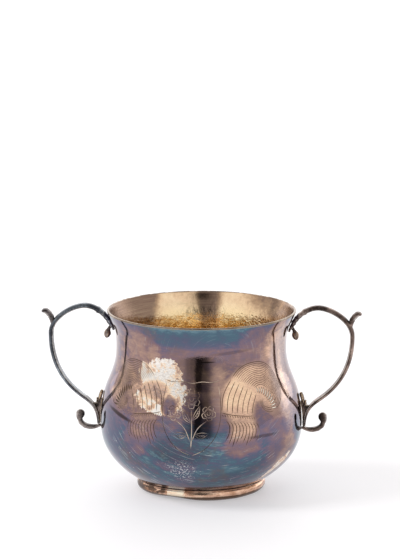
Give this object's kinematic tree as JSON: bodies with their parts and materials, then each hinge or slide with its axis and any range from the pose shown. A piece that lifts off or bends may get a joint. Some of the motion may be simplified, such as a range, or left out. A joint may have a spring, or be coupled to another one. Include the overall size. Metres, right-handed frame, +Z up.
{
  "type": "two-handled cup",
  "caption": "Open drinking cup with a bellied bowl, flared rim, ring foot and a scroll handle with a curled tail on each side; engraved front, gilt inside.",
  "frame": {"origin": "on the table, under the middle of the bowl and of the two handles", "axes": "+Z up; the handles lie along X, and the engraved front of the bowl faces -Y"},
  "size_m": [0.1664, 0.107, 0.0989],
  "materials": {
    "bowl_silver": "worn satin silver with blue-grey and purple tarnish, gilt inside",
    "foot_silver": "satin silver with a warm tarnish",
    "handle_silver": "satin silver, grey tarnish",
    "dark_silver": "satin silver, dark tarnish"
  },
  "bodies": {
    "root": {"bowl": "bowl_silver", "foot_ring": "foot_silver", "right_handle_loop": "handle_silver", "right_thumb_piece": "handle_silver", "right_upper_bud": "dark_silver", "right_lower_bracket": "dark_silver", "right_tail_scroll": "handle_silver", "left_handle_loop": "handle_silver", "left_thumb_piece": "handle_silver", "left_upper_bud": "dark_silver", "left_lower_bracket": "dark_silver", "left_tail_scroll": "handle_silver"}
  },
  "joints": []
}
